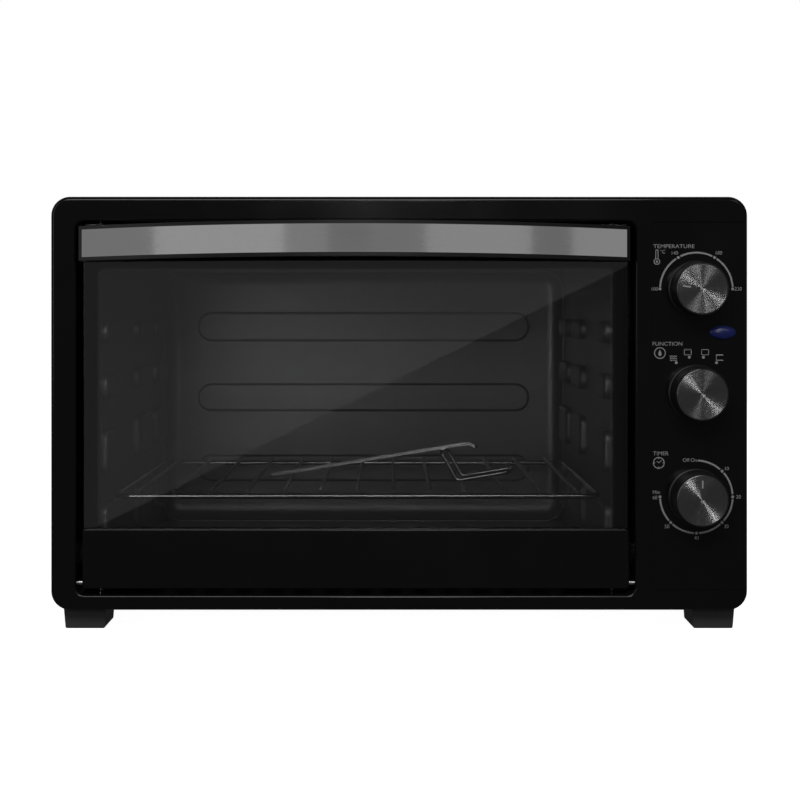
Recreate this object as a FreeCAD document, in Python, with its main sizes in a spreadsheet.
import FreeCAD, Part
import math
import os
import types

import Sketcher

# A toaster oven. It stands on z = 0 and faces -Y, with X to the right as seen from the front.
# The origin is the centre of its outline on the worktop. Lengths are in millimetres, angles in degrees.

NODES = "parts"
DOC = FreeCAD.newDocument("ToasterOven")
V = FreeCAD.Vector

# ------------------------------------------------------------------ driving dimensions
DIMENSIONS = {
    # casing
    "body_wide": 480,
    "body_top": 300,
    "body_low": 15,
    "front_plane": -140,
    "rear_plane": 190,
    "corner_radius": 13,
    "edge_round": 3,
    "frame_deep": 22,
    "frame_wall": 2.5,
    "sheet_thick": 0.8,
    "wrap_flange": 32,
    # door and its opening
    "door_left": -218.5,
    "door_right": 158.5,
    "door_low": 29.6,
    "door_top": 281,
    "door_gap": 4,
    "lip_inset": 1.5,
    "gland_x": 195,
    "gland_z": 52,
    "dish_deep": 15,
    "trim_top": 71.4,
    "trim_front": -139.5,
    "glass_front": -137,
    "glass_thick": 4,
    "window_left": -207.5,
    "window_right": 148.1,
    "window_top": 249.6,
    "hinge_y": -133.5,
    "hinge_z": 33,
    "hinge_pin_radius": 2,
    "running_gap": 0.05,
    # handle
    "handle_low": 255.2,
    "handle_tall": 23.5,
    "handle_arch": 2.4,
    "handle_end_proud": 12,
    "handle_proud": 50,
    "grip_thick": 13,
    "strip_tall": 18.7,
    "strip_thick": 0.8,
    # control panel
    "panel_left": 173,
    "panel_low": 29.2,
    "panel_top": 282.7,
    "panel_recess": 1,
    "knob_x": 204.7,
    "temperature_z": 236.4,
    "function_z": 164.8,
    "timer_z": 93.2,
    "knob_radius": 18.6,
    "knob_proud": 20,
    "spindle_radius": 3,
    "lamp_x": 222.9,
    "lamp_z": 206.3,
    "lamp_wide": 18.3,
    "lamp_tall": 9.5,
    "bracket_y": -112,
    # cavity
    "cavity_left": -208,
    "cavity_right": 148,
    "cavity_floor": 33,
    "cavity_top": 268,
    "cavity_rear_top": 256,
    "cavity_rear": 170,
    "flange_y": -125.5,
    "boss_deep": 5,
    "rib_deep": 3.5,
    "heater_radius": 3.25,
    "heater_low_z": 42,
    "heater_top_z": 259,
    # rack and tray lifter
    "rack_left": -204,
    "rack_right": 144,
    "rack_front": -97,
    "rack_rear": 126,
    "rack_z": 88.1,
    "rack_wire": 2,
    "cross_wire": 1.4,
    "cross_count": 13,
    "cross_pitch": 26.3,
    "lifter_x": -97.4,
    "lifter_y": -17.7,
    "lifter_turn": -10.3,
    "lifter_wire": 1.5,
    # feet and screws
    "foot_outer": 233.5,
    "foot_wide": 29.5,
    "foot_deep": 32,
    "foot_front": -128,
    "foot_rear": 172,
    "screw_radius": 2,
}

sheet = DOC.addObject("Spreadsheet::Sheet", "Sizes")
for row, (alias, number) in enumerate(DIMENSIONS.items(), start=1):
    sheet.set(f"A{row}", alias)
    sheet.set(f"B{row}", str(number))
    sheet.setAlias(f"B{row}", alias)
DOC.recompute()


class Size:
    """A length with its value and the spreadsheet expression that gives it."""

    def __init__(self, value, text):
        self.value = value
        self.text = text

    def __add__(self, other):
        other = as_size(other)
        return Size(self.value + other.value, f"({self.text} + {other.text})")

    def __radd__(self, other):
        return as_size(other) + self

    def __sub__(self, other):
        other = as_size(other)
        return Size(self.value - other.value, f"({self.text} - {other.text})")

    def __rsub__(self, other):
        return as_size(other) - self

    def __mul__(self, factor):
        return Size(self.value * factor, f"({self.text} * {factor})")

    def __rmul__(self, factor):
        return self * factor

    def __truediv__(self, factor):
        return Size(self.value / factor, f"({self.text} / {factor})")

    def __neg__(self):
        return Size(-self.value, f"(0 - {self.text})")


def as_size(number):
    if isinstance(number, Size):
        return number
    return Size(float(number), f"({float(number)})")


def value(number):
    return as_size(number).value


D = types.SimpleNamespace(
    **{alias: Size(sheet.get(alias), f"Sizes.{alias}") for alias in DIMENSIONS}
)

# sizes that follow from the driving ones
half_wide = D.body_wide / 2
frame_rear = D.front_plane + D.frame_deep
opening_x = (D.door_left - D.door_gap, D.door_right + D.door_gap)
opening_z = (D.door_low - 3.8, D.door_top + 1.7)
wrap_rear = D.rear_plane - 2.6
cover_rear = D.rear_plane - 1.8
base_low = D.body_low + D.sheet_thick
panel_y = D.front_plane + D.panel_recess
glass_rear = D.glass_front + D.glass_thick
door_rear = D.flange_y - 2
door_middle = (D.door_left + D.door_right) / 2


# ------------------------------------------------------------------ helpers: Part objects
TURNS = {
    "X": FreeCAD.Rotation(V(0, 1, 0), 90),
    "Y": FreeCAD.Rotation(V(1, 0, 0), -90),
    "Z": FreeCAD.Rotation(),
}


def bind(item, **amounts):
    for name, amount in amounts.items():
        item.setExpression(name, as_size(amount).text)


def put(item, x=0, y=0, z=0, turn=None):
    item.Placement = FreeCAD.Placement(V(value(x), value(y), value(z)), turn or FreeCAD.Rotation())
    for letter, amount in zip("xyz", (x, y, z)):
        item.setExpression(f"Placement.Base.{letter}", as_size(amount).text)
    return item


def box(name, x, y, z):
    item = DOC.addObject("Part::Box", name)
    bind(item, Length=x[1] - x[0], Width=y[1] - y[0], Height=z[1] - z[0])
    return put(item, x[0], y[0], z[0])


def cylinder(name, radius, axis, start, end, across):
    """A round bar along X, Y or Z; across gives its other two coordinates in X, Y, Z order."""
    item = DOC.addObject("Part::Cylinder", name)
    bind(item, Radius=radius, Height=end - start)
    place = list(across)
    place.insert("XYZ".index(axis), start)
    return put(item, *place, turn=TURNS[axis])


def gathered(kind, name, pieces):
    item = DOC.addObject(kind, name)
    setattr(item, "Links" if kind == "Part::Compound" else "Shapes", list(pieces))
    return item


def fused(name, *pieces):
    return gathered("Part::MultiFuse", name, pieces)


def group(name, *pieces):
    return gathered("Part::Compound", name, pieces)


def cut(name, base, *tools):
    item = DOC.addObject("Part::Cut", name)
    item.Base = base
    item.Tool = tools[0] if len(tools) == 1 else group(f"{name}_tools", *tools)
    return item


def common(name, first, second):
    item = DOC.addObject("Part::MultiCommon", name)
    item.Shapes = [first, second]
    return item


# ------------------------------------------------------------------ helpers: bodies and sketches
# plane role, and the way its normal points along the axis
PLANES = {"X": ("YZ_Plane", 1), "Y": ("XZ_Plane", -1), "Z": ("XY_Plane", 1)}
SMOOTH = 0.001


def new_body(name):
    return DOC.addObject("PartDesign::Body", name)


class Outline:
    """A sketch across one axis of a body, at one place along it, with its sizes bound to the sheet."""

    def __init__(self, body, axis, place):
        role, way = PLANES[axis]
        origin = [f for f in body.Origin.OriginFeatures if f.Role == role][0]
        self.sketch = body.newObject("Sketcher::SketchObject", f"{body.Name}_sketch")
        self.sketch.AttachmentSupport = (origin, "")
        self.sketch.MapMode = "FlatFace"
        self.sketch.setExpression("AttachmentOffset.Base.z", as_size(place * way).text)
        self.pieces = []
        self.rules = []

    def add(self, piece):
        self.pieces.append(piece)
        return len(self.pieces) - 1

    def finish(self):
        """Adds the pieces and the rules. A rule is a constraint's arguments, the last a Size if a length."""
        self.sketch.addGeometry(self.pieces, False)
        plain = [[part.value if isinstance(part, Size) else part for part in rule] for rule in self.rules]
        self.sketch.addConstraint([Sketcher.Constraint(*rule) for rule in plain])
        for index, rule in enumerate(self.rules):
            if isinstance(rule[-1], Size):
                self.sketch.setExpression(f"Constraints[{index}]", rule[-1].text)

    def hold(self, *rules):
        self.rules += rules

    def at(self, piece, point, across, up):
        """Holds a point of the outline at its place."""
        self.hold(
            ("DistanceX", -1, 1, piece, point, as_size(across)),
            ("DistanceY", -1, 1, piece, point, as_size(up)),
        )

    def polygon(self, corners):
        """Straight sides between corners, in order."""
        points = [V(value(a), value(b), 0) for a, b in corners]
        ends = points[1:] + points[:1]
        lines = [self.add(Part.LineSegment(a, b)) for a, b in zip(points, ends)]
        for line, following in zip(lines, lines[1:] + lines[:1]):
            self.hold(("Coincident", line, 2, following, 1))
        for line, (a, b) in zip(lines, corners):
            self.at(line, 1, a, b)

    def rectangle(self, across, up):
        corners = [(across[0], up[0]), (across[1], up[0]), (across[1], up[1]), (across[0], up[1])]
        self.polygon(corners)

    def circle(self, across, up, radius):
        middle = V(value(across), value(up), 0)
        ring = self.add(Part.Circle(middle, V(0, 0, 1), value(radius)))
        self.at(ring, 3, across, up)
        self.hold(("Radius", ring, as_size(radius)))

    def rounded(self, across, up, radius):
        """A rectangle with round corners."""
        x0, x1 = value(across[0]), value(across[1])
        z0, z1 = value(up[0]), value(up[1])
        r = value(radius)
        centres = [(x1 - r, z0 + r), (x1 - r, z1 - r), (x0 + r, z1 - r), (x0 + r, z0 + r)]
        sides = [
            ((x0 + r, z0), (x1 - r, z0)),
            ((x1, z0 + r), (x1, z1 - r)),
            ((x1 - r, z1), (x0 + r, z1)),
            ((x0, z1 - r), (x0, z0 + r)),
        ]
        lines = []
        arcs = []
        for number, ((start, end), centre) in enumerate(zip(sides, centres)):
            line = Part.LineSegment(V(*start, 0), V(*end, 0))
            ring = Part.Circle(V(*centre, 0), V(0, 0, 1), r)
            turn = math.radians(90 * number - 90)
            lines.append(self.add(line))
            arcs.append(self.add(Part.ArcOfCircle(ring, turn, turn + math.pi / 2)))
        for number in range(4):
            self.hold(
                ("Tangent", lines[number], 2, arcs[number], 1),
                ("Tangent", arcs[number], 2, lines[(number + 1) % 4], 1),
                ("Horizontal" if number % 2 == 0 else "Vertical", lines[number]),
            )
        self.hold(
            ("Equal", arcs[0], arcs[1]),
            ("Equal", arcs[0], arcs[2]),
            ("Equal", arcs[0], arcs[3]),
            ("Radius", arcs[0], as_size(radius)),
            ("DistanceY", -1, 1, lines[0], 1, as_size(up[0])),
            ("DistanceX", -1, 1, lines[1], 1, as_size(across[1])),
            ("DistanceY", -1, 1, lines[2], 1, as_size(up[1])),
            ("DistanceX", -1, 1, lines[3], 1, as_size(across[0])),
        )


def checked(item):
    if {"Invalid", "Error"} & set(item.State) or item.Shape.isNull():
        raise RuntimeError(f"{item.Name} is {item.State}: {item.getStatusString()}")
    return item


def solid_between(body, axis, low, high, draw, kind="PartDesign::Pad"):
    """Pads or pockets what draw(outline) draws, from low to high along the axis."""
    way = PLANES[axis][1]
    start, end = (low, high) if way > 0 else (high, low)
    adds = kind == "PartDesign::Pad"
    before = body.Shape.Volume if body.Tip else 0
    outline = Outline(body, axis, as_size(start if adds else end))
    draw(outline)
    outline.finish()
    feature = body.newObject(kind, f"{body.Name}_{'pad' if adds else 'pocket'}")
    feature.Profile = outline.sketch
    bind(feature, Length=as_size(high) - as_size(low))
    body.Tip = feature
    DOC.recompute()
    checked(feature)
    change = body.Shape.Volume - before
    if change * (1 if adds else -1) < 1:
        raise RuntimeError(f"{feature.Name} changes the volume by {change:.1f}")
    return feature


def pocket_between(body, axis, low, high, draw):
    return solid_between(body, axis, low, high, draw, "PartDesign::Pocket")


def repeated(body, feature, axis, step, count):
    """Repeats a body's last feature along X, Y or Z."""
    pattern = body.newObject("PartDesign::LinearPattern", f"{feature.Name}_row")
    line = [f for f in body.Origin.OriginFeatures if f.Role == f"{axis}_Axis"][0]
    pattern.Originals = [feature]
    pattern.Direction = (line, [""])
    pattern.Occurrences = count
    bind(pattern, Length=step * (count - 1))
    body.Tip = pattern
    DOC.recompute()
    checked(pattern)


def vent_rows(body, axis, span, first, step, count, rows, along, tall):
    """Rows of upright vent slots cut through a sheet."""
    for row in rows:
        def slot(outline, middle=row):
            across = (first - tall / 2, first + tall / 2)
            outline.rounded(across, (middle - along / 2, middle + along / 2), tall / 2 - 0.2)

        feature = pocket_between(body, axis, span[0], span[1], slot)
        repeated(body, feature, "Y" if axis == "X" else "X", step, count)


def rounded_edges(body, radius, wanted):
    """Rounds the edges of a body that wanted(edge) picks."""
    base = body.Tip
    names = [f"Edge{n}" for n, edge in enumerate(base.Shape.Edges, start=1) if wanted(edge)]
    if not names:
        raise RuntimeError(f"{body.Name} has no such edges")
    fillet = body.newObject("PartDesign::Fillet", f"{body.Name}_fillet")
    fillet.Base = (base, names)
    bind(fillet, Radius=radius)
    body.Tip = fillet
    DOC.recompute()
    checked(fillet)


def lies_at(axis, place):
    """Picks the edges that lie in the plane across an axis at a place."""
    low, high = f"{axis}Min", f"{axis}Max"
    there = value(place)

    def wanted(edge):
        bounds = edge.BoundBox
        return abs(getattr(bounds, low) - there) < SMOOTH and abs(getattr(bounds, high) - there) < SMOOTH

    return wanted


def runs_along(axis):
    """Picks the straight edges along an axis."""
    direction = {"X": V(1, 0, 0), "Y": V(0, 1, 0), "Z": V(0, 0, 1)}[axis]

    def wanted(edge):
        if not isinstance(edge.Curve, Part.Line):
            return False
        return edge.Curve.Direction.cross(direction).Length < SMOOTH

    return wanted


def inside(wanted, x=None, z=None):
    """Narrows a choice of edges to those whose middle is inside a range of x and of z."""

    def narrowed(edge):
        middle = edge.BoundBox.Center
        fits_x = x is None or value(x[0]) < middle.x < value(x[1])
        fits_z = z is None or value(z[0]) < middle.z < value(z[1])
        return wanted(edge) and fits_x and fits_z

    return narrowed


def bent_bar(name, points, radius, bend, closed=False):
    """A round bar along straight runs joined by tangent arcs of one bend radius."""
    corners = [V(*point) for point in points]
    count = len(corners)
    turning = range(count) if closed else range(1, count - 1)
    arcs = {}
    for number in turning:
        corner = corners[number]
        back = (corners[number - 1] - corner).normalize()
        ahead = (corners[(number + 1) % count] - corner).normalize()
        half = back.getAngle(ahead) / 2
        reach = bend / math.tan(half)
        centre = corner + (back + ahead).normalize() * (bend / math.sin(half))
        axis = back.cross(ahead).normalize()
        arcs[number] = (corner + back * reach, corner + ahead * reach, centre, axis * -1, math.pi - 2 * half)
    pieces = []
    for start, end, centre, axis, turn in arcs.values():
        facing = axis.cross(start - centre)
        profile = Part.Face(Part.Wire(Part.makeCircle(radius, start, facing)))
        pieces.append(profile.revolve(centre, axis, math.degrees(turn)))
    runs = count if closed else count - 1
    for number in range(runs):
        following = (number + 1) % count
        start = arcs[number][1] if number in arcs else corners[number]
        end = arcs[following][0] if following in arcs else corners[following]
        pieces.append(Part.makeCylinder(radius, (end - start).Length, start, end - start))
    item = DOC.addObject("Part::Feature", name)
    item.Shape = pieces[0].multiFuse(pieces[1:]).removeSplitter()
    return item


# ------------------------------------------------------------------ casing
def make_front_frame():
    """The moulded front: a ring round the door and the control panel, hollow from behind."""
    body = new_body("front_frame")
    whole_x = (-half_wide, half_wide)
    whole_z = (D.body_low, D.body_top)
    corner = D.corner_radius
    solid_between(body, "Y", D.front_plane, frame_rear, lambda o: o.rounded(whole_x, whole_z, corner))
    rounded_edges(body, D.edge_round, lies_at("Y", D.front_plane))
    pocket_between(body, "Y", D.front_plane, frame_rear, lambda o: o.rounded(opening_x, opening_z, 6))
    rim = inside(lies_at("Y", D.front_plane), x=(opening_x[0] - 2, opening_x[1] + 2), z=(20, 290))
    rounded_edges(body, 2.2, rim)

    def hollow(outline):
        wall = D.frame_wall
        outer_x = (wall - half_wide, half_wide - wall)
        outer_z = (D.body_low + wall, D.body_top - wall)
        outline.rounded(outer_x, outer_z, D.corner_radius - wall)
        inner_x = (opening_x[0] - wall, opening_x[1] + wall)
        inner_z = (opening_z[0] - wall, opening_z[1] + wall)
        outline.rounded(inner_x, inner_z, 6 + wall)

    pocket_between(body, "Y", D.front_plane + D.frame_wall, frame_rear, hollow)
    field_x = (D.panel_left, half_wide + 5)
    field_z = (D.panel_low, D.panel_top)
    pocket_between(body, "Y", D.front_plane, panel_y, lambda o: o.rounded(field_x, field_z, 4))

    def holes(outline):
        for height in (D.temperature_z, D.function_z, D.timer_z):
            outline.circle(D.knob_x, height, D.spindle_radius + 2)
        outline.circle(D.lamp_x, D.lamp_z, 3.6)

    pocket_between(body, "Y", D.front_plane, D.front_plane + D.frame_wall + 1, holes)
    bore = D.hinge_pin_radius + D.running_gap
    pins_x = (opening_x[0] - 6, opening_x[1] + 6)
    pocket_between(body, "X", pins_x[0], pins_x[1], lambda o: o.circle(D.hinge_y, D.hinge_z, bore))
    return {"front_frame": body}


def make_outer_wrap():
    """Painted sheet bent round the top and sides, with a flange at the rear and under the edges."""
    body = new_body("outer_wrap")
    inset = 0.5
    skin = D.sheet_thick
    outer_x = (inset - half_wide, half_wide - inset)
    outer_z = (D.body_low, D.body_top - inset)
    inner_x = (outer_x[0] + skin, outer_x[1] - skin)
    inner_z = (outer_z[0] + skin, outer_z[1] - skin)
    round_out = D.corner_radius - inset
    solid_between(body, "Y", frame_rear, wrap_rear, lambda o: o.rounded(outer_x, outer_z, round_out))
    rounded_edges(body, 2, lies_at("Y", wrap_rear))
    round_in = round_out - skin
    pocket_between(body, "Y", frame_rear, wrap_rear - skin, lambda o: o.rounded(inner_x, inner_z, round_in))
    window_x = (14 - half_wide, half_wide - 14)
    window_z = (D.body_low + 14, D.body_top - 14)
    pocket_between(body, "Y", wrap_rear - 3, wrap_rear, lambda o: o.rounded(window_x, window_z, 6))
    floor_x = (D.wrap_flange - half_wide, half_wide - D.wrap_flange)
    floor_y = (frame_rear - 5, wrap_rear - 10)
    pocket_between(body, "Z", D.body_low - 1, base_low + 1, lambda o: o.rectangle(floor_x, floor_y))
    vent_rows(body, "X", (-half_wide, half_wide), 90, 9, 9, rows=(215, 250), along=26, tall=4)

    def screw_holes(outline):
        for x, z in rear_screw_places():
            outline.circle(x, z, D.screw_radius)

    pocket_between(body, "Y", wrap_rear - 3, wrap_rear, screw_holes)
    pocket_between(body, "Z", D.body_low - 1, base_low + 1, foot_screw_holes)
    return {"outer_wrap": body}


def rear_screw_places():
    """The rear cover's screws: three down each side and one at the middle of the top and bottom."""
    side = half_wide - 9
    sides = [(way * side, z) for way in (-1, 1) for z in (45, 157, 270)]
    return sides + [(as_size(0), D.body_top - 9), (as_size(0), D.body_low + 9)]


def foot_screw_places():
    across = D.foot_outer - D.foot_wide / 2
    rows = (D.foot_front + D.foot_deep / 2, D.foot_rear - D.foot_deep / 2)
    return [(way * across, y) for way in (-1, 1) for y in rows]


def foot_screw_holes(outline):
    for x, y in foot_screw_places():
        outline.circle(x, y, D.screw_radius)


def make_rear_cover():
    """A flat steel cover with rows of vents and the mains lead's gland at its lower corner."""
    body = new_body("rear_cover")
    across = (4 - half_wide, half_wide - 4)
    up = (D.body_low + 4, D.body_top - 4)
    solid_between(body, "Y", wrap_rear, cover_rear, lambda o: o.rounded(across, up, 9))
    through = (wrap_rear - 1, cover_rear + 1)
    vent_rows(body, "Y", through, -108, 24, 10, rows=(95, 135, 175, 215), along=26, tall=5)

    def holes(outline):
        for x, z in rear_screw_places():
            outline.circle(x, z, D.screw_radius)
        outline.circle(D.gland_x, D.gland_z, 7)

    pocket_between(body, "Y", through[0], through[1], holes)
    heads = []
    for number, (x, z) in enumerate(rear_screw_places(), start=1):
        shank = cylinder(f"rear_shank_{number}", D.screw_radius, "Y", wrap_rear - 8, cover_rear, (x, z))
        head = cylinder(f"rear_head_{number}", D.screw_radius * 2, "Y", cover_rear, D.rear_plane, (x, z))
        heads.append(fused(f"rear_screw_{number}", shank, head))
    gland = (D.gland_x, D.gland_z)
    collar = cylinder("gland_collar", 11, "Y", cover_rear, D.rear_plane, gland)
    neck = cylinder("gland_neck", 6.9, "Y", wrap_rear - 9, cover_rear, gland)
    nut = cylinder("gland_nut", 10, "Y", wrap_rear - 7, wrap_rear - 1, gland)
    bore = cylinder("gland_bore", 3.6, "Y", wrap_rear - 10, D.rear_plane + 1, gland)
    gland = cut("cord_gland", fused("gland_solid", collar, neck, nut), bore)
    return {"rear_cover": body, "rear_screws": group("rear_screws", *heads), "cord_gland": gland}


def make_base_panel():
    """The steel underside that lies on the wrap's lower flanges, with vents under the heaters."""
    body = new_body("base_panel")
    across = (15 - half_wide, half_wide - 15)
    deep = (frame_rear + 1, wrap_rear - 2)
    solid_between(body, "Z", base_low, base_low + D.sheet_thick, lambda o: o.rectangle(across, deep))
    vent_rows(body, "Z", (base_low - 1, base_low + 2), -170, 22, 14, rows=(-60, 30, 120), along=40, tall=5)
    pocket_between(body, "Z", base_low - 1, base_low + 2, foot_screw_holes)
    return {"base_panel": body}


def make_feet():
    """Four moulded feet, wider at the top, each held by a screw from below."""
    nodes = {}
    places = {"foot_front_left": (-1, 0), "foot_front_right": (1, 0), "foot_rear_left": (-1, 1)}
    places["foot_rear_right"] = (1, 1)
    rows = ((D.foot_front, D.foot_front + D.foot_deep), (D.foot_rear - D.foot_deep, D.foot_rear))
    for name, (way, row) in places.items():
        body = new_body(name)
        inner = D.foot_outer - D.foot_wide
        corners = [
            (way * (inner + 1), as_size(0)),
            (way * (D.foot_outer - 1.3), as_size(0)),
            (way * D.foot_outer, D.body_low),
            (way * inner, D.body_low),
        ]
        if way < 0:
            corners.reverse()
        near, far = rows[row]
        solid_between(body, "Y", near, far, lambda o, c=corners: o.polygon(c))
        rounded_edges(body, 1.5, lies_at("Z", 0))
        screw = (way * (D.foot_outer - D.foot_wide / 2), (near + far) / 2)
        pocket_between(body, "Z", -1, 9, lambda o, s=screw: o.circle(s[0], s[1], 5))
        pocket_between(body, "Z", 8, D.body_low + 1, lambda o, s=screw: o.circle(s[0], s[1], D.screw_radius))
        nodes[name] = body
    screws = []
    for number, place in enumerate(foot_screw_places(), start=1):
        head = cylinder(f"foot_head_{number}", 4.2, "Z", 6.4, 9, place)
        shank = cylinder(f"foot_shank_{number}", D.screw_radius, "Z", 9, base_low + 5, place)
        screws.append(fused(f"foot_screw_{number}", head, shank))
    nodes["foot_screws"] = group("foot_screws", *screws)
    return nodes


# ------------------------------------------------------------------ cavity
# the pressed pads of a side wall: their columns along Y and their rows up Z
PAD_COLUMNS = ((-126 + 3, -90), (5, 65), (95, 150))
PAD_ROWS = ((50, 85.8), (106.5, 137.4), (158.7, 176.6), (198.1, 213.6))


def draw_pads(outline, column, inset, roundest):
    """One column's pads, drawn smaller by an inset all round."""
    for low, high in PAD_ROWS:
        half = (high - low) / 2 - inset
        deep = (column[0] + inset, column[1] - inset)
        outline.rounded(deep, (low + inset, high - inset), min(roundest, half - 0.2))


def make_side_wall(name, inner, way):
    """A full-height steel partition with pressed pads that carry the rack; way points outward."""
    body = new_body(name)
    skin = D.sheet_thick
    face = (inner, inner + way * skin) if way > 0 else (inner + way * skin, inner)
    rear = D.cavity_rear + 12
    top = opening_z[1] - 0.5
    behind_frame = frame_rear + 0.5
    over_frame = opening_z[0] + 0.5
    wall_points = [
        (D.flange_y, over_frame),
        (behind_frame, over_frame),
        (behind_frame, base_low + skin),
        (rear, base_low + skin),
        (rear, top),
        (D.flange_y, top),
    ]
    solid_between(body, "X", face[0], face[1], lambda o: o.polygon(wall_points))
    lip = D.door_right - D.lip_inset if way > 0 else D.door_left + D.lip_inset
    lip_x = (inner, lip) if way > 0 else (lip, inner)
    lip_z = (D.door_low + D.lip_inset, D.door_top - D.lip_inset)
    solid_between(body, "Y", D.flange_y, D.flange_y + skin, lambda o: o.rectangle(lip_x, lip_z))
    proud = inner - way * D.boss_deep
    pad_x = (proud, face[1]) if way > 0 else (face[0], proud)
    dish_x = (proud + skin, face[1]) if way > 0 else (face[0], proud - skin)
    for column in PAD_COLUMNS:
        solid_between(body, "X", pad_x[0], pad_x[1], lambda o, c=column: draw_pads(o, c, 0, 7.5))
    rounded_edges(body, 2.8, lies_at("X", proud))
    for column in PAD_COLUMNS:
        pocket_between(body, "X", dish_x[0], dish_x[1], lambda o, c=column: draw_pads(o, c, 1, 6.5))

    def heater_holes(outline):
        for y, z in heater_places().values():
            outline.circle(y, z, D.heater_radius + 1)

    pocket_between(body, "X", face[0] - 1, face[1] + 1, heater_holes)
    return {name: body}


def heater_places():
    return {
        "upper_heater_front": (-62, D.heater_top_z),
        "upper_heater_rear": (92, D.heater_top_z),
        "lower_heater_front": (-65, D.heater_low_z),
        "lower_heater_rear": (40, D.heater_low_z),
    }


def make_cavity_shell():
    """The cavity's ceiling, floor and drawn back panel, between the two side walls."""
    skin = D.sheet_thick
    across = (D.cavity_left, D.cavity_right)
    ceiling = new_body("cavity_ceiling")
    level = D.cavity_top
    slope = ((D.cavity_rear - 40, level), (D.cavity_rear, D.cavity_rear_top))
    front = D.flange_y
    outline_points = [
        (front, D.window_top),
        (front + skin, D.window_top),
        (front + skin, level),
        slope[0],
        slope[1],
        (slope[1][0], slope[1][1] + skin),
        (slope[0][0], slope[0][1] + skin),
        (front + skin, level + skin),
        (front + skin, D.door_top - D.lip_inset),
        (front, D.door_top - D.lip_inset),
    ]
    solid_between(ceiling, "X", across[0], across[1], lambda o: o.polygon(outline_points))
    floor = new_body("cavity_floor")
    low = D.cavity_floor
    floor_points = [
        (front, D.door_low + D.lip_inset),
        (front + skin, D.door_low + D.lip_inset),
        (front + skin, low - skin),
        (D.cavity_rear, low - skin),
        (D.cavity_rear, low),
        (front, low),
    ]
    solid_between(floor, "X", across[0], across[1], lambda o: o.polygon(floor_points))
    back = new_body("cavity_back")
    up = (low, D.cavity_rear_top)
    rim_y = D.cavity_rear - D.dish_deep
    turn = D.dish_deep - 3
    corner = D.dish_deep + 1
    solid_between(back, "Y", rim_y, D.cavity_rear + skin, lambda o: o.rounded(across, up, corner))
    inner_x = (across[0] + skin, across[1] - skin)
    inner_z = (up[0] + skin, up[1] - skin)
    pocket_between(back, "Y", rim_y, D.cavity_rear, lambda o: o.rounded(inner_x, inner_z, corner - skin))
    rounded_edges(back, turn, lies_at("Y", D.cavity_rear))
    rounded_edges(back, turn + skin, lies_at("Y", D.cavity_rear + skin))
    rib_x = (-179.6, 118.9)
    ribs = ((66.8, 90.8), (129.7, 155.0), (192.6, 219.3))

    def rib_outlines(outline):
        for z0, z1 in ribs:
            outline.rounded(rib_x, (z0, z1), (z1 - z0) / 2 - 0.2)

    proud = D.cavity_rear - D.rib_deep
    solid_between(back, "Y", proud, D.cavity_rear + skin, rib_outlines)
    rounded_edges(back, 2.6, lies_at("Y", proud))
    return {"cavity_ceiling": ceiling, "cavity_floor": floor, "cavity_back": back}


def make_heaters():
    """Four sheathed heater tubes, each held at both ends by a ceramic bush in the side walls."""
    nodes = {}
    bushes = []
    skin = D.sheet_thick
    left_x = (D.cavity_left - skin - 6, D.cavity_left - skin)
    right_x = (D.cavity_right + skin, D.cavity_right + skin + 6)
    for name, place in heater_places().items():
        start, end = left_x[0] - 5, right_x[1] + 5
        nodes[name] = cylinder(name, D.heater_radius, "X", start, end, place)
        for side, span in (("left", left_x), ("right", right_x)):
            outer = cylinder(f"{name}_{side}_bush", 8, "X", span[0], span[1], place)
            hole = cylinder(f"{name}_{side}_hole", D.heater_radius, "X", span[0], span[1], place)
            bushes.append(cut(f"{name}_{side}_ring", outer, hole))
    nodes["heater_insulators"] = group("heater_insulators", *bushes)
    return nodes


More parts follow.
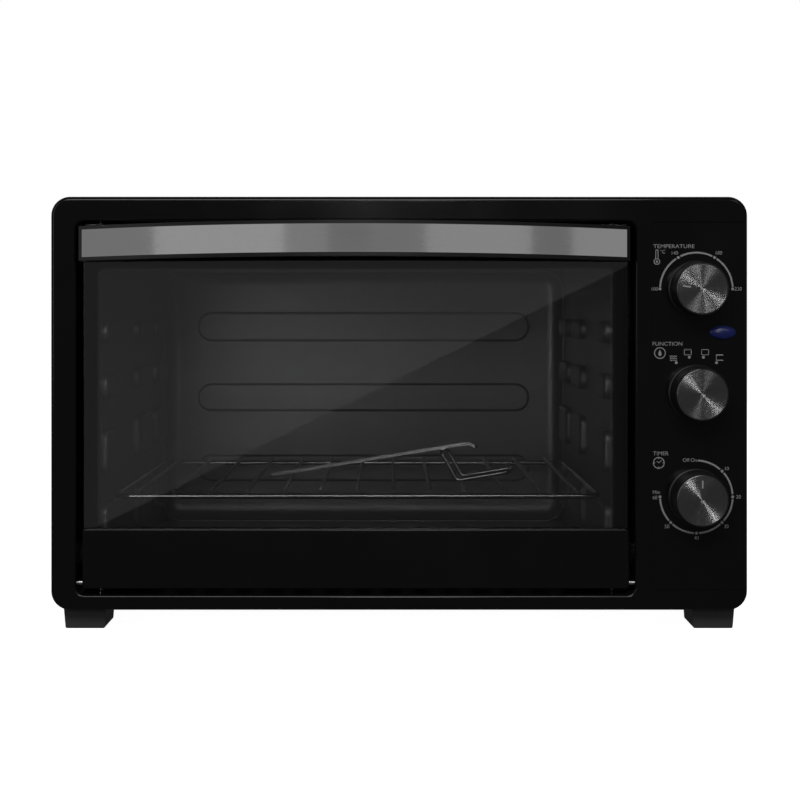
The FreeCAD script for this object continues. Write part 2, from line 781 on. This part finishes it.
# ------------------------------------------------------------------ controls behind the panel
def make_controls():
    """The bracket, thermostat, function switch, timer and bell, lamp and terminal block."""
    plate_y = (D.bracket_y - 1.2, D.bracket_y)
    plate = box("bracket_plate", (as_size(168), half_wide - 5), plate_y, (as_size(40), as_size(280)))
    foot_x = (as_size(168), half_wide - 5)
    foot_y = (frame_rear, plate_y[1])
    ends = [
        box(f"bracket_foot_{n}", foot_x, foot_y, (as_size(z), as_size(z + 1.2)))
        for n, z in enumerate((40, 278.8), start=1)
    ]
    heights = {"thermostat": D.temperature_z, "function_switch": D.function_z, "timer": D.timer_z}
    neck = D.spindle_radius + 1.6
    openings = [
        cylinder(f"{name}_opening", neck, "Y", plate_y[0] - 1, plate_y[1] + 1, (D.knob_x, z))
        for name, z in heights.items()
    ]
    nodes = {"control_bracket": cut("control_bracket", fused("bracket_solid", plate, *ends), *openings)}
    cases = {
        "thermostat": box(
            "thermostat_case",
            (D.knob_x - 17, D.knob_x + 17),
            (plate_y[1], plate_y[1] + 22),
            (D.temperature_z - 13, D.temperature_z + 13),
        ),
        "function_switch": cylinder(
            "switch_case", 20, "Y", plate_y[1], plate_y[1] + 26, (D.knob_x, D.function_z)
        ),
        "timer": box(
            "timer_case",
            (D.knob_x - 26, D.knob_x + 26),
            (plate_y[1], plate_y[1] + 34),
            (D.timer_z - 26, D.timer_z + 26),
        ),
    }
    for name, case in cases.items():
        place = (D.knob_x, heights[name])
        collar = cylinder(f"{name}_collar", neck, "Y", plate_y[0] - 5, plate_y[1], place)
        radius = D.spindle_radius + D.running_gap
        bore = cylinder(f"{name}_bore", radius, "Y", plate_y[0] - 6, plate_y[1] + 12, place)
        tabs = [
            box(
                f"{name}_tab_{n}",
                (place[0] + shift - 3, place[0] + shift + 3),
                (case_back(name, plate_y[1]) - 1, case_back(name, plate_y[1]) + 8),
                (place[1] - 0.4, place[1] + 0.4),
            )
            for n, shift in enumerate((-10, 10), start=1)
        ]
        nodes[name] = cut(name, fused(f"{name}_solid", case, collar, *tabs), bore)
    ball = DOC.addObject("Part::Sphere", "bell_ball")
    bind(ball, Radius=24)
    bell_y = plate_y[1] + 34 + 9.5
    put(ball, D.knob_x, bell_y - 12, D.timer_z + 1)
    hollow = DOC.addObject("Part::Sphere", "bell_hollow")
    bind(hollow, Radius=23)
    put(hollow, D.knob_x, bell_y - 12, D.timer_z + 1)
    span = (D.knob_x - 30, D.knob_x + 30)
    rear_half = box("bell_half", span, (bell_y, bell_y + 20), (60, 130))
    dome = common("bell_dome", cut("bell_shell", ball, hollow), rear_half)
    post = cylinder("bell_post", 2, "Y", plate_y[1] + 34, bell_y + 12.2, (D.knob_x, D.timer_z + 3))
    nodes["timer_bell"] = fused("timer_bell", dome, post)
    dome_ball = DOC.addObject("Part::Ellipsoid", "lens_ball")
    bind(dome_ball, Radius1=3, Radius2=D.lamp_wide / 2, Radius3=D.lamp_tall / 2)
    put(dome_ball, D.lamp_x, panel_y, D.lamp_z, turn=FreeCAD.Rotation(V(1, 0, 0), 90))
    lens_x = (D.lamp_x - 12, D.lamp_x + 12)
    lens_z = (D.lamp_z - 8, D.lamp_z + 8)
    front_half = box("lens_half", lens_x, (panel_y - 5, panel_y), lens_z)
    stem = cylinder("lens_stem", 3.5, "Y", panel_y, panel_y + 8, (D.lamp_x, D.lamp_z))
    socket = cylinder("lens_socket", 2.4, "Y", panel_y + 1, panel_y + 9, (D.lamp_x, D.lamp_z))
    lens = fused("lens_solid", common("lens_dome", dome_ball, front_half), stem)
    nodes["indicator_lens"] = cut("indicator_lens", lens, socket)
    nodes["indicator_lamp"] = cylinder(
        "indicator_lamp", 2.3, "Y", panel_y + 2, panel_y + 20, (D.lamp_x, D.lamp_z)
    )
    block_x = (as_size(170), as_size(215))
    block_y = (as_size(140), as_size(160))
    block = box("block_case", block_x, block_y, (as_size(17.4), as_size(33)))
    wells = [
        cylinder(f"block_well_{n}", 2.5, "Z", 24, 34, (178 + 14.5 * n, 150)) for n in range(3)
    ]
    nodes["terminal_block"] = cut("terminal_block", block, *wells)
    return nodes


def case_back(name, front):
    depth = {"thermostat": 22, "function_switch": 26, "timer": 34}[name]
    return front + depth


# ------------------------------------------------------------------ door
def make_door():
    """The glass, the pressed frame behind it and the opaque trim along the lower edge."""
    door_x = (D.door_left, D.door_right)
    glass = new_body("door_glass")
    glass_x = (D.door_left + 0.5, D.door_right - 0.5)
    glass_z = (D.trim_top - 8, D.door_top)
    solid_between(glass, "Y", D.glass_front, glass_rear, lambda o: o.rounded(glass_x, glass_z, 3))
    rounded_edges(glass, 0.6, lies_at("Y", D.glass_front))
    pocket_between(glass, "Y", D.glass_front - 1, glass_rear + 1, lambda o: handle_screw_holes(o, 2.4))
    frame = new_body("door_frame")
    frame_z = (D.door_low, D.door_top)
    window_z = (D.trim_top - 5, D.window_top)
    solid_between(frame, "Y", glass_rear, door_rear, lambda o: o.rounded(door_x, frame_z, 3))
    window_x = (D.window_left, D.window_right)
    pocket_between(frame, "Y", glass_rear, door_rear, lambda o: o.rounded(window_x, window_z, 4))
    around = {"x": (window_x[0] - 1, window_x[1] + 1), "z": (window_z[0] - 1, window_z[1] + 1)}
    rounded_edges(frame, 1.4, inside(lies_at("Y", glass_rear), **around))
    pocket_between(frame, "Y", glass_rear - 1, door_rear + 1, lambda o: handle_screw_holes(o, 2.4))
    pocket_between(frame, "Y", door_rear - 3, door_rear, lambda o: handle_screw_holes(o, 4.4))
    shaft = D.hinge_pin_radius
    trim = new_body("door_lower_trim")
    trim_z = (D.door_low, D.trim_top)
    solid_between(trim, "Y", D.trim_front, glass_rear, lambda o: o.rounded(door_x, trim_z, 2.5))
    rounded_edges(trim, 1.6, lies_at("Y", D.trim_front))
    seat_x = (D.door_left - 1, D.door_right + 1)
    seat_z = (D.trim_top - 8, D.trim_top + 1)
    pocket_between(trim, "Y", D.glass_front, glass_rear, lambda o: o.rectangle(seat_x, seat_z))
    pin_ends = {
        "left": (opening_x[0] - 12, D.door_left + 12),
        "right": (D.door_right - 12, opening_x[1] + 12),
    }
    pins = []
    tools = {"frame": [], "trim": []}
    for side, (start, end) in pin_ends.items():
        place = (D.hinge_y, D.hinge_z)
        pins.append(cylinder(f"hinge_pin_{side}", shaft, "X", start, end, place))
        for owner, list_of_tools in tools.items():
            list_of_tools.append(cylinder(f"{owner}_seat_{side}", shaft, "X", start, end, place))
    springs = [make_spring(side, pin_ends[side]) for side in pin_ends]
    return {
        "door_glass": glass,
        "door_frame": cut("door_frame_bored", frame, *tools["frame"]),
        "door_lower_trim": cut("door_trim_bored", trim, *tools["trim"]),
        "hinge_pins": group("hinge_pins", *pins),
        "hinge_springs": group("hinge_springs", *springs),
    }


def make_spring(side, pin_end):
    """The torsion spring round one hinge pin, inside the hollow front frame."""
    outward = pin_end[0] + 1.5 if side == "left" else pin_end[1] - 1.5 - 7
    coil = DOC.addObject("Part::Helix", f"{side}_spring_line")
    bind(coil, Pitch=1.4, Height=7, Radius=2.85)
    ring = DOC.addObject("Part::Circle", f"{side}_spring_ring")
    bind(ring, Radius=0.45)
    ring.Placement = FreeCAD.Placement(V(2.85, 0, 0), FreeCAD.Rotation(V(1, 0, 0), 90))
    spring = DOC.addObject("Part::Sweep", f"{side}_spring")
    spring.Sections = [ring]
    spring.Spine = coil
    spring.Solid = True
    spring.Frenet = True
    return put(spring, outward, D.hinge_y, D.hinge_z, turn=TURNS["X"])


def handle_screw_places():
    height = D.handle_low + D.handle_tall / 2
    return [(D.door_left + 9, height), (D.door_right - 9, height)]


def handle_screw_holes(outline, radius):
    for x, z in handle_screw_places():
        outline.circle(x, z, radius)


def bow(half_chord, rise):
    """The radius of an arc from its half chord and its rise."""
    return (half_chord**2 + rise**2) / (2 * rise)


def band(name, plan, low_z, arch):
    """A plan outline made solid upwards, between two edges that arch up by the same amount."""
    middle = value(door_middle)
    half = value(D.door_right - D.door_left) / 2
    radius = bow(half, arch)
    tall = plan["tall"]
    plan_face = Part.Face(Part.Wire(plan["edges"]))
    upright = plan_face.extrude(V(0, 0, tall + 3 * arch))
    upright.translate(V(0, 0, low_z - arch))
    edges = []
    for level in (low_z, low_z + tall):
        left, right = middle - half - 5, middle + half + 5
        ends = [V(left, -250, level), V(middle, -250, level + arch), V(right, -250, level)]
        edges.append(Part.Arc(*ends).toShape())
    lower, upper = edges
    sides = [
        Part.makeLine(lower.Vertexes[1].Point, upper.Vertexes[1].Point),
        Part.makeLine(upper.Vertexes[0].Point, lower.Vertexes[0].Point),
    ]
    front = Part.Face(Part.Wire(Part.__sortEdges__([lower, sides[0], upper, sides[1]])))
    curtain = front.extrude(V(0, 200, 0))
    item = DOC.addObject("Part::Feature", name)
    item.Shape = upright.common(curtain).removeSplitter()
    return item


def make_handle():
    """A handle bowed outward and slightly arched, with a brushed steel strip let into its face."""
    left, right = value(D.door_left) + 0.5, value(D.door_right) - 1.5
    middle = (left + right) / 2
    front = value(D.front_plane)
    end_y = front - value(D.handle_end_proud)
    crown_y = front - value(D.handle_proud)
    glass = value(D.glass_front)
    inner_crown = crown_y + value(D.grip_thick)
    foot = 17
    outer = Part.Arc(V(left, end_y, 0), V(middle, crown_y, 0), V(right, end_y, 0)).toShape()
    inner_ends = (V(right - foot, glass, 0), V(left + foot, glass, 0))
    inner = Part.Arc(inner_ends[0], V(middle, inner_crown, 0), inner_ends[1]).toShape()
    grip_edges = [
        outer,
        Part.makeLine(V(right, end_y, 0), V(right, glass, 0)),
        Part.makeLine(V(right, glass, 0), V(right - foot, glass, 0)),
        inner,
        Part.makeLine(V(left + foot, glass, 0), V(left, glass, 0)),
        Part.makeLine(V(left, glass, 0), V(left, end_y, 0)),
    ]
    low = value(D.handle_low)
    tall = value(D.handle_tall)
    arch = value(D.handle_arch)
    grip = band("grip_solid", {"edges": grip_edges, "tall": tall}, low, arch)
    border = (tall - value(D.strip_tall)) / 2
    thick = value(D.strip_thick)
    start, end = left + border, right - border
    curve = bow((right - left) / 2, end_y - crown_y)
    centre_y = crown_y + curve

    def on_curve(x, radius):
        return V(x, centre_y - math.sqrt(radius**2 - (x - middle) ** 2), 0)

    rings = (curve + 0.3, curve + 0.3 - thick)
    corners = [[on_curve(x, radius) for x in (start, middle, end)] for radius in rings]
    strip_edges = [
        Part.Arc(*corners[0]).toShape(),
        Part.makeLine(corners[0][2], corners[1][2]),
        Part.Arc(*reversed(corners[1])).toShape(),
        Part.makeLine(corners[1][0], corners[0][0]),
    ]
    strip = band("handle_strip", {"edges": strip_edges, "tall": value(D.strip_tall)}, low + border, arch)
    bores = [
        cylinder(f"handle_bore_{n}", 2, "Y", D.glass_front - 9, D.glass_front + 1, place)
        for n, place in enumerate(handle_screw_places(), start=1)
    ]
    screws = []
    for number, place in enumerate(handle_screw_places(), start=1):
        shank = cylinder(f"handle_shank_{number}", 2, "Y", D.glass_front - 9, door_rear - 2.6, place)
        head = cylinder(f"handle_head_{number}", 4, "Y", door_rear - 2.9, door_rear - 0.5, place)
        screws.append(fused(f"handle_screw_{number}", shank, head))
    return {
        "handle_grip": cut("handle_grip", grip, strip, *bores),
        "handle_strip": strip,
        "handle_screws": group("handle_screws", *screws),
    }


# ------------------------------------------------------------------ knobs
def turned(name, profile):
    """A body turned about its own upright axis from a half profile of (radius, height) corners."""
    body = new_body(name)
    outline = Outline(body, "Y", as_size(0))
    outline.polygon([(as_size(r), as_size(h)) for r, h in profile])
    outline.finish()
    feature = body.newObject("PartDesign::Revolution", f"{name}_turned")
    feature.Profile = outline.sketch
    feature.ReferenceAxis = (outline.sketch, ["V_Axis"])
    feature.Angle = 360
    body.Tip = feature
    DOC.recompute()
    return body


def make_knob(name, height, pointer_angle):
    """A knob with a low skirt, a spun metal face, a pointer line and the spindle it turns."""
    facing = FreeCAD.Rotation(V(1, 0, 0), 90)
    ground = panel_y - 0.4
    rim = D.knob_radius
    tall = D.knob_proud - 0.4
    seat = tall - 1.4
    bore = D.spindle_radius
    wall = 1.8
    face = tall - 0.9
    profile = [
        (bore, 3),
        (bore + 2.5, 3),
        (bore + 2.5, seat - 2),
        (rim - wall, seat - 2),
        (rim - wall, 0),
        (rim + 0.9, 0),
        (rim + 0.9, 1.2),
        (rim, 1.8),
        (rim - 0.5, seat),
        (rim - 0.9, tall),
        (rim - 1.4, tall),
        (rim - 1.4, face),
        (0, face),
        (0, face - 1.5),
        (bore, face - 1.5),
    ]
    knob = turned(f"{name}_knob", profile)
    cap_profile = [
        (0, face),
        (rim - 1.4, face),
        (rim - 1.4, tall),
        (rim - 1.9, tall + 0.4),
        (0, tall + 0.25),
    ]
    cap = turned(f"{name}_knob_cap", cap_profile)
    for body in (knob, cap):
        put(body, D.knob_x, ground, height, turn=facing)
    spindle_y = (ground - face + 1.5, D.bracket_y + 11)
    spindle = cylinder(f"{name}_spindle", bore, "Y", spindle_y[0], spindle_y[1], (D.knob_x, height))
    mark = DOC.addObject("Part::Box", f"{name}_pointer")
    bind(mark, Length=0.9, Width=5.2, Height=0.5)
    reach = 8.3
    turn = facing.multiply(FreeCAD.Rotation(V(0, 0, 1), -pointer_angle))
    corner = turn.multVec(V(-0.45, reach, 0))
    put(mark, D.knob_x + corner.x, ground - tall - 0.05, height + corner.z, turn=turn)
    cap_cut = cut(f"{name}_cap_inlaid", cap, mark)
    return {
        f"{name}_knob": knob,
        f"{name}_knob_cap": cap_cut,
        f"{name}_pointer": mark,
        f"{name}_spindle": spindle,
    }


# ------------------------------------------------------------------ rack and tray lifter
def make_rack():
    """A wire rack: one closed outer wire, and cross wires welded on top of it front to back."""
    left, right = value(D.rack_left), value(D.rack_right)
    front, rear = value(D.rack_front), value(D.rack_rear)
    level = value(D.rack_z)
    corners = [(left, front, level), (right, front, level), (right, rear, level), (left, rear, level)]
    outer = bent_bar("rack_frame_wire", corners, value(D.rack_wire), 12, closed=True)
    bars = []
    middle = (D.rack_left + D.rack_right) / 2
    count = int(value(D.cross_count))
    for number in range(count):
        x = middle + (number - (count - 1) / 2) * D.cross_pitch
        height = D.rack_z + D.rack_wire + D.cross_wire
        ends = (D.rack_front - 1.5, D.rack_rear + 1.5)
        bars.append(cylinder(f"cross_wire_{number + 1}", D.cross_wire, "Y", ends[0], ends[1], (x, height)))
    return {"rack_frame_wire": outer, "rack_cross_wires": group("rack_cross_wires", *bars)}


def make_lifter():
    """A chromed tray lifter lying on the rack: a flat bar with a hooked tip over a wire jaw."""
    along, up = V(1, 0, 0), V(0, 0, 1)
    wide, thick = 11, 2.2
    line = [(0, -1.3), (149, 25.2), (154, 25.4), (159, 23)]
    lower = [along * a + up * b for a, b in line]
    upper = [point + up * thick for point in reversed(lower)]
    outline = [point - V(0, wide / 2, 0) for point in lower + upper]
    bar = Part.Face(Part.makePolygon(outline + outline[:1])).extrude(V(0, wide, 0))
    grip = DOC.addObject("Part::Feature", "lifter_grip")
    grip.Shape = bar.makeFillet(1.0, [e for e in bar.Edges if runs_along("Z")(e)])
    half = 14.4
    side_points = [(134, 21), (146, 0.2), (184, 7.2)]
    jaw_points = [(a, -half, b) for a, b in side_points] + [(a, half, b) for a, b in reversed(side_points)]
    jaw = bent_bar("lifter_jaw", jaw_points, value(D.lifter_wire), 3.2, closed=True)
    top = value(D.rack_z) + value(D.rack_wire) + 2 * value(D.cross_wire)
    place = FreeCAD.Placement(
        V(value(D.lifter_x), value(D.lifter_y), top + value(D.lifter_wire) + 0.3),
        FreeCAD.Rotation(V(0, 0, 1), value(D.lifter_turn)),
    )
    for item in (grip, jaw):
        item.Placement = place
    return {"lifter_grip": grip, "lifter_jaw": jaw}


# ------------------------------------------------------------------ the whole oven
nodes = {}
for made in (
    make_front_frame(),
    make_outer_wrap(),
    make_rear_cover(),
    make_base_panel(),
    make_feet(),
    make_side_wall("cavity_left_wall", D.cavity_left, -1),
    make_side_wall("cavity_right_wall", D.cavity_right, 1),
    make_cavity_shell(),
    make_heaters(),
    make_controls(),
    make_door(),
    make_handle(),
    make_knob("temperature", D.temperature_z, -82.5),
    make_knob("function", D.function_z, -33.75),
    make_knob("timer", D.timer_z, 0),
    make_rack(),
    make_lifter(),
):
    nodes.update(made)

DOC.recompute()
for item in DOC.Objects:
    if {"Invalid", "Error"} & set(item.State):
        raise RuntimeError(f"{item.Name} is {item.State}: {item.getStatusString()}")
os.makedirs(NODES, exist_ok=True)
for name, item in nodes.items():
    if item.Shape.isNull() or not item.Shape.isValid():
        raise RuntimeError(f"{name} has no valid shape")
    if item.Label != name:
        item.Label = name
    item.Shape.exportStep(os.path.join(NODES, f"{name}.step"))
print(len(nodes), "nodes written")
